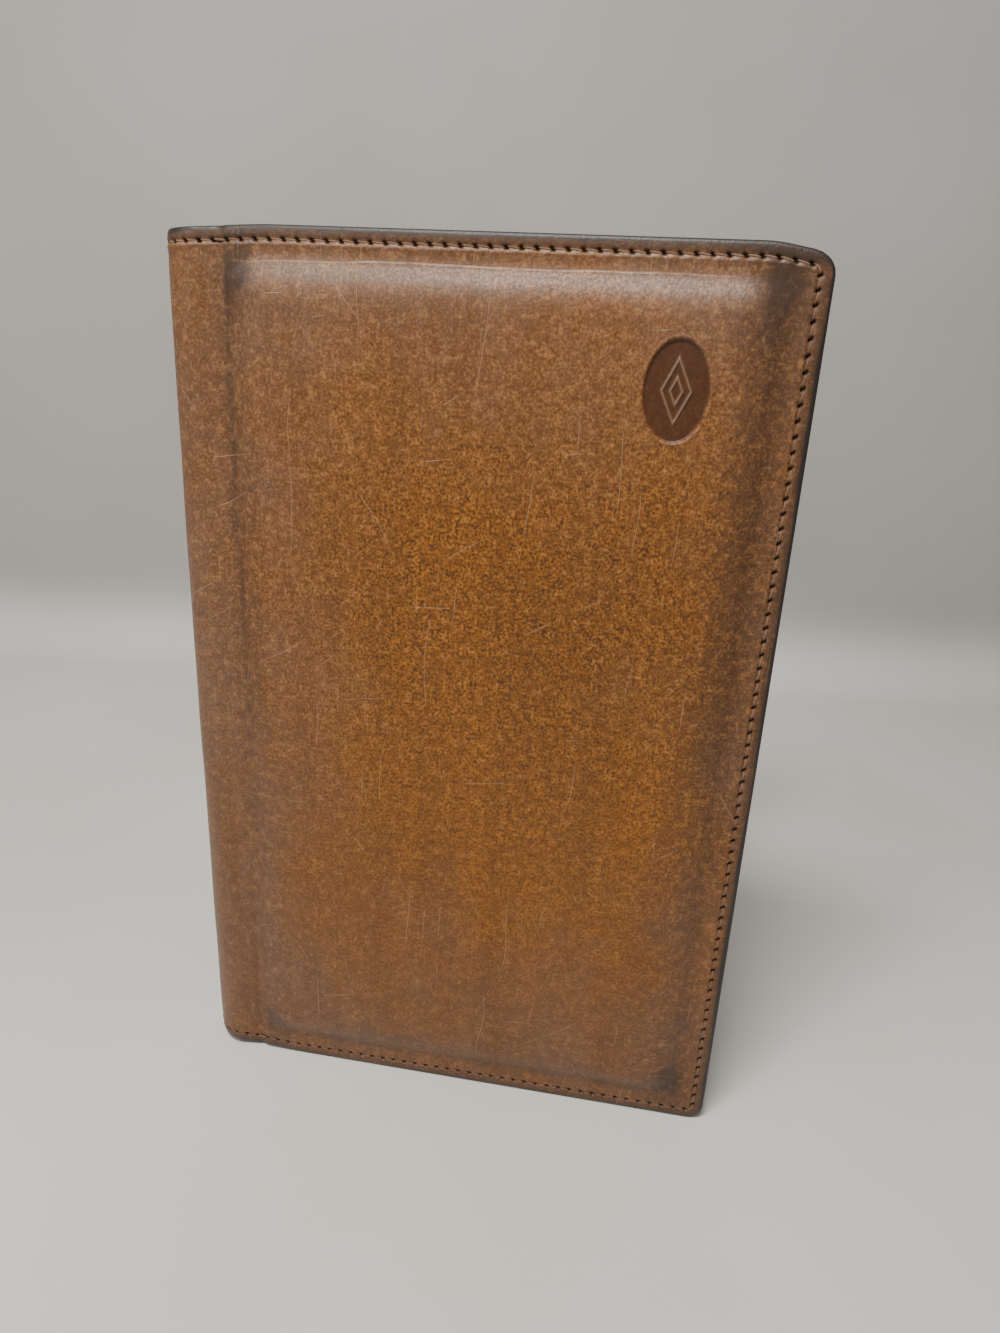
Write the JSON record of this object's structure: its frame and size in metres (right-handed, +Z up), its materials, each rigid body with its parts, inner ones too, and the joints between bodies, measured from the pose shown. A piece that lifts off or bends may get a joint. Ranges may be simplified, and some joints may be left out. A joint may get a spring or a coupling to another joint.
{
  "type": "leather writing folio",
  "caption": "Padded tan leather folio on a rounded spine, standing part open, with a removable writing pad, a document pocket, card slots and a pen loop.",
  "frame": {"origin": "on the surface that the folio stands on, under the middle of its bounding box", "axes": "+Z up the height of the folio, +X from the spine to the free edges of the covers, -Y towards the side of the front cover"},
  "size_m": [0.1488, 0.0932, 0.24],
  "materials": {
    "tan_leather": "worn, waxed, mottled tan",
    "pocket_leather": "smooth, semi-matt brown",
    "lining": "fine matt twill",
    "thread": "waxed twisted thread",
    "foam": "open foam",
    "greyboard": "uncoated",
    "paper": "uncoated writing paper",
    "binding_tape": "glued book cloth"
  },
  "bodies": {
    "spine": {"spine_leather": "tan_leather", "spine_reinforcement": "greyboard", "spine_lining": "lining", "spine_thread_bottom": "thread", "spine_thread_top": "thread", "pen_loop": "pocket_leather"},
    "front_cover": {"front_outer_leather": "tan_leather", "front_foam_pad": "foam", "front_board": "greyboard", "front_lining": "lining", "front_thread": "thread", "document_pocket": "pocket_leather", "card_slot_upper": "pocket_leather", "card_slot_middle": "pocket_leather", "card_slot_lower": "pocket_leather"},
    "back_cover": {"back_outer_leather": "tan_leather", "back_foam_pad": "foam", "back_board": "greyboard", "back_lining": "lining", "back_thread": "thread", "pad_panel": "pocket_leather"},
    "pad": {"pad_backboard": "greyboard", "pad_sheets": "paper", "pad_binding": "binding_tape"}
  },
  "joints": [
    {"name": "front_hinge", "type": "hinge", "parent": "spine", "child": "front_cover", "pos_m": [-0.06433, -0.00775, 0.12], "axis": [0, 0, -1], "range_deg": [-15, 75]},
    {"name": "back_hinge", "type": "hinge", "parent": "spine", "child": "back_cover", "pos_m": [-0.06433, 0.00775, 0.12], "axis": [0, 0, 1], "range_deg": [-15, 75]},
    {"name": "pad_slide", "type": "slide", "parent": "back_cover", "child": "pad", "axis": [0, 0, 1], "range_m": [0, 0.18]}
  ]
}
